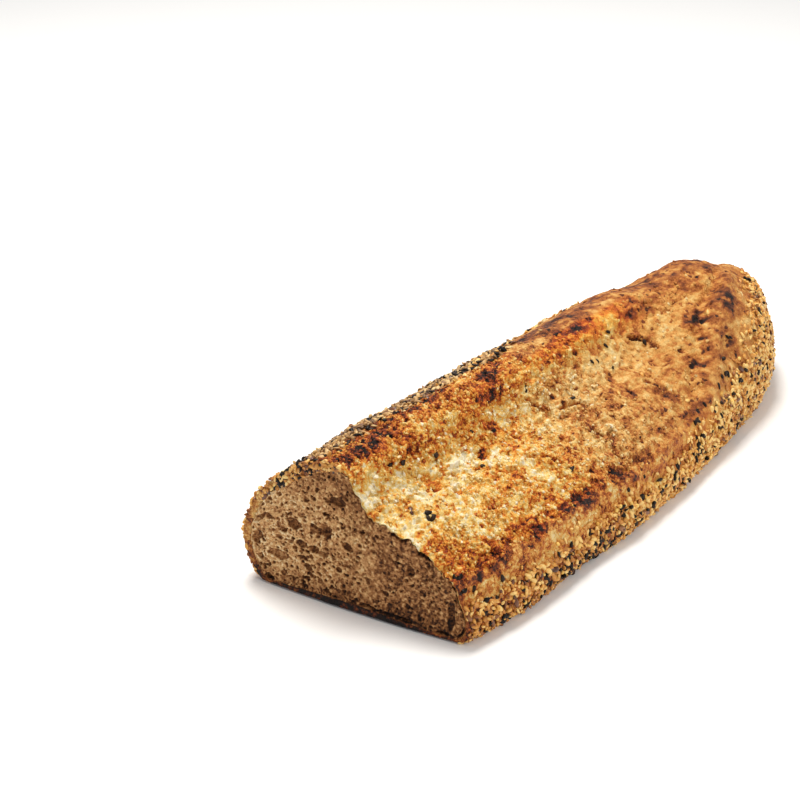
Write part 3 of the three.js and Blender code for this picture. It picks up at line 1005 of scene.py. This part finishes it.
def makeSeeds():
    rng = np.random.default_rng(301)
    along, around, point, normal, toastAndShade = seedPlaces(rng)
    # black ones lie in clumps, fewer of them far along on the right
    clump = latticeNoise(point, 8.0, 303) + 0.4 * hill(around, 14.0, 0.7) * smooth(20, 60, along)
    shares = seeds["shares"]
    pick = rng.random(len(along))
    onLeft = (around > 4.4) & (around < 7) & (along < 100)
    fewer = 1 - 0.5 * smooth(40, 110, along) * (around > 8)
    black = pick < shares["black"] * (0.5 + 2.3 * smooth(0.0, 0.6, clump) + 0.4 * onLeft) * fewer
    black &= (along > 15) | (around > 4.4)
    linseed = pick > 1 - shares["linseed"]
    millet = ~linseed & (pick > 1 - shares["linseed"] - shares["millet"]) & (around > 8)
    sesame = ~black & ~linseed & ~millet
    lift = rng.uniform(*seeds["lift"], len(along))
    places = (point, normal, toastAndShade, lift)
    right = (around > 10) & (around < 15.3)
    left = (around > 0.9) & (around <= 10)
    golden = seedSkin("bakedSesame")
    # the grey skin is painted shade on the left side of the loaf
    grey = seedSkin("greySesameInPaintedShade")
    near = along < seeds["divided"]["right"]
    plantSeeds("sesame_right_near", "sesame", sesame & right & near, places, golden, rng, "heaped")
    plantSeeds("sesame_right_far", "sesame", sesame & right & ~near, places, golden, rng, "loose")
    # golden ones take over from the greyer, shaded ones towards the round end and, low down, towards the cut
    nearCut = np.where(around > 4.4, smooth(6, 0, along), smooth(45, 4, along))
    greyInShade = sesame & left & (rng.random(len(along)) > np.maximum(smooth(30, 190, along), nearCut))
    hulled = sesame & left & ~greyInShade
    near = along < seeds["divided"]["greyInShade"]
    plantSeeds("sesame_greyInShade_near", "sesame", greyInShade & near, places, grey, rng, "loose")
    plantSeeds("sesame_greyInShade_far", "sesame", greyInShade & ~near, places, grey, rng, "loose")
    near = along < seeds["divided"]["left"]
    plantSeeds("sesame_left_near", "sesame", hulled & near, places, golden, rng, "loose")
    plantSeeds("sesame_left_far", "sesame", hulled & ~near, places, golden, rng, "loose")
    plantSeeds("sesame_under", "sesame", sesame & ~right & ~left, places, golden, rng, "flat")
    plantSeeds("linseed", "linseed", linseed, places, seedSkin("bakedLinseed"), rng, "flat")
    plantSeeds("millet", "millet", millet, places, seedSkin("bakedMillet"), rng, "flat")
    # black ones, and with them the single ones that stand on the opened score
    strayAlong, strayAround = np.array(seeds["strays"]).T
    strayPoint, strayNormal, strayFields = crustPoint(strayAlong / loaf["length"], strayAround)
    strays = (strayPoint, strayNormal, strayFields["toastAndShade"], np.full(len(strayAlong), 0.05))
    places = [np.concatenate([field[black], stray]) for field, stray in zip(places, strays)]
    dark = seedSkin("bakedBlackSesame")
    plantSeeds("black_sesame", "blackSesame", np.full(len(places[0]), True), places, dark, rng, "black")


makeSeeds()
print("seeds planted")

# crumbs of dough and bran standing on the torn score, each a rough lump with its own browning
lumps = {
    "tries": 300000,
    "spacing": 0.85,
    "size": (0.4, 1.5),
    "shape": (0.55, 0.46, 0.38),        # half sizes of one lump of size 1
    "knocked": 0.28,        # how uneven it is
    "tilt": 0.5,
    "around": (5.6, 13.4),        # steps between which they stand
    "perPiece": 9900,
}


def lumpShape():
    # the twelve corners of an icosahedron, flattened and knocked about
    golden = (1 + 5 ** 0.5) / 2
    points = np.array([(0, a, b * golden) for a in (-1, 1) for b in (-1, 1)])
    points = np.concatenate([points, np.roll(points, 1, 1), np.roll(points, 2, 1)]) / np.hypot(1, golden)
    gaps = np.linalg.norm(points[:, None] - points[None], axis=2)
    joined = (gaps > 0.1) & (gaps < 1.2)
    triangles = np.array([(i, j, k) for i, j, k in product(range(12), repeat=3)
                          if i < j < k and joined[i, j] and joined[j, k] and joined[i, k]])
    corners = points[triangles]
    outward = np.cross(corners[:, 1] - corners[:, 0], corners[:, 2] - corners[:, 0])
    inwards = (outward * corners.sum(1)).sum(1) < 0
    triangles[inwards] = triangles[inwards][:, ::-1]
    knocked = points * (1 + lumps["knocked"] * np.random.default_rng(311).uniform(-1, 1, (12, 1)))
    return knocked * np.array(lumps["shape"]), triangles


def makeLumps(material):
    # most on the near, open and browned dough, in loose groups; small ones are far more common than large
    rng = np.random.default_rng(312)
    share = rng.random(lumps["tries"])
    around = rng.uniform(*lumps["around"], lumps["tries"])
    point, normal, fields = crustPoint(share, around)
    first = thinned(point, lumps["spacing"])
    inside = fields["inside"][first]
    calm = 1 - 0.9 * smooth(60, 130, share[first] * loaf["length"])
    calm *= 0.35 + 0.65 * smooth(-0.3, 0.3, layeredNoise(point[first], 7.0, 2, 313))
    calm *= 0.25 + 0.75 * smooth(0.1, 0.4, fields["toastAndShade"][first])
    first = first[rng.random(len(first)) < (0.15 + 0.85 * inside) * calm]
    first = first[cutDepth(point[first]) > 0.4]
    small, large = lumps["size"]
    sizes = small + (large - small) * rng.random(len(first)) ** 3
    toastAndShade = fields["toastAndShade"][first] + rng.normal(size=len(first)) * 0.08 - 0.03
    coarse, rolled = 0.8 * fields["coarse"][first], fields["rolled"][first]
    point, normal = point[first], normal[first]
    pieces = int(np.ceil(len(first) / lumps["perPiece"]))
    for index, chosen in enumerate(np.array_split(np.argsort(point[:, 0]), pieces), 1):
        fieldsHere = {"toastAndShade": toastAndShade[chosen], "coarse": coarse[chosen], "rolled": rolled[chosen]}
        plantCopies(f"torn_crumbs_{index}", lumpShape(), point[chosen], normal[chosen], material,
                    rng, lumps["tilt"], 0.1 * sizes[chosen], sizes[chosen], fieldsHere, "toastAndShade", False)


makeLumps(crustMaterial)
print("torn crumbs scattered")

# table, camera and light
stage = {
    "tableSize": 8.0,
    "tableColour": "#FBFBFC",
    "cameraFromCut": (-350.3, -303.0, 304.0),        # mm from the middle of the cut's foot
    "cameraTurn": -0.8856,
    "cameraDown": radians(26.96),
    "lens": 85.5,
    "room": 0.45,
    # place in metres, size in metres, power in watts, colour
    "window": ((0.06, 0.2, 0.72), 0.36, 6.0, "#FFFCF5"),
    "fill": ((-0.1, -0.95, 0.65), 0.5, 3.6, "#FFF8EE"),
}


# a white table top, painted matt: it gives soft shadows and no reflection
def makeTable():
    material = startMaterial("mattPaint")
    shader = addNode(material, "BsdfPrincipled", {
        "Base Color": linear(stage["tableColour"]), "Roughness": 0.7})
    addNode(material, "OutputMaterial", {"Surface": shader.outputs["BSDF"]})
    bpy.ops.mesh.primitive_plane_add(size=stage["tableSize"])
    table = bpy.context.object
    table.name = "table"
    table.data.materials.append(material)


def makeCamera():
    camera = bpy.data.objects.new("camera", bpy.data.cameras.new("camera"))
    camera.data.lens = stage["lens"]
    camera.data.sensor_width = 36        # mm, as the lens
    camera.location = (np.array(stage["cameraFromCut"]) + shift) * mm
    camera.rotation_euler = (pi / 2 - stage["cameraDown"], 0, stage["cameraTurn"])
    bpy.context.scene.collection.objects.link(camera)
    bpy.context.scene.camera = camera


def addLight(name, place, size, power, colour):
    # a round soft box that faces the loaf
    light = bpy.data.lights.new(name, "AREA")
    light.shape = "DISK"
    light.size = size
    light.energy = power
    light.color = linear(colour)[:3]
    lamp = bpy.data.objects.new(name, light)
    lamp.location = place
    lamp.rotation_euler = (-Vector(place)).to_track_quat("-Z", "Y").to_euler()
    bpy.context.scene.collection.objects.link(lamp)


def makeRoom():
    room = bpy.data.worlds.new("room")
    room.use_nodes = True
    background = room.node_tree.nodes["Background"].inputs
    background["Color"].default_value = linear("#FFFFFF")
    background["Strength"].default_value = stage["room"]
    bpy.context.scene.world = room
    bpy.context.scene.view_settings.view_transform = "Standard"


makeTable()
makeCamera()
addLight("window", *stage["window"])
addLight("fill", *stage["fill"])
makeRoom()
print("table, camera and light set")
